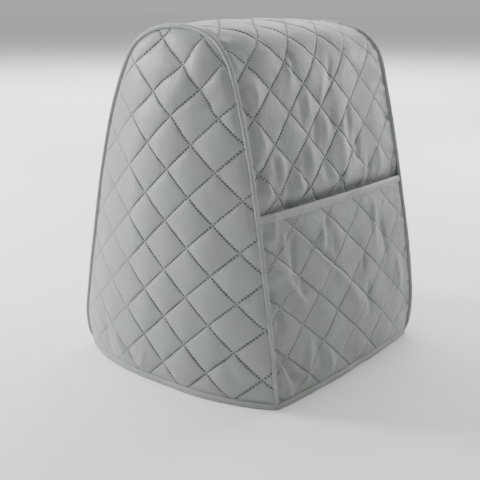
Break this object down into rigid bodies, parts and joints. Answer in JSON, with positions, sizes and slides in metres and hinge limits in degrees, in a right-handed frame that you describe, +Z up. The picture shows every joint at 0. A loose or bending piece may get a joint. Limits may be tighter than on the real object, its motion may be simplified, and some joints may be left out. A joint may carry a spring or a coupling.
{
  "type": "stand mixer cover",
  "caption": "Quilted fabric cover for a stand mixer: two arched side panels, a strip over the front, top and back, a full-width front pocket and bound edges.",
  "frame": {"origin": "on the floor under the middle of the cover's box", "axes": "+Z up, the pocket faces -Y, the arched side panels face -X and +X"},
  "size_m": [0.371, 0.3429, 0.4267],
  "materials": {
    "panel_cloth": "soft satin polyester cloth, diamond quilted, pale grey-green",
    "strip_cloth": "soft satin polyester cloth, diamond quilted, grey-green",
    "binding_cloth": "plain satin bias binding, pale grey-green"
  },
  "bodies": {
    "root": {"side_panel_near": "panel_cloth", "side_panel_far": "panel_cloth", "strip": "strip_cloth", "pocket": "strip_cloth", "pocket_binding": "binding_cloth", "piping_near": "binding_cloth", "piping_far": "binding_cloth", "hem_binding": "binding_cloth"}
  },
  "joints": []
}
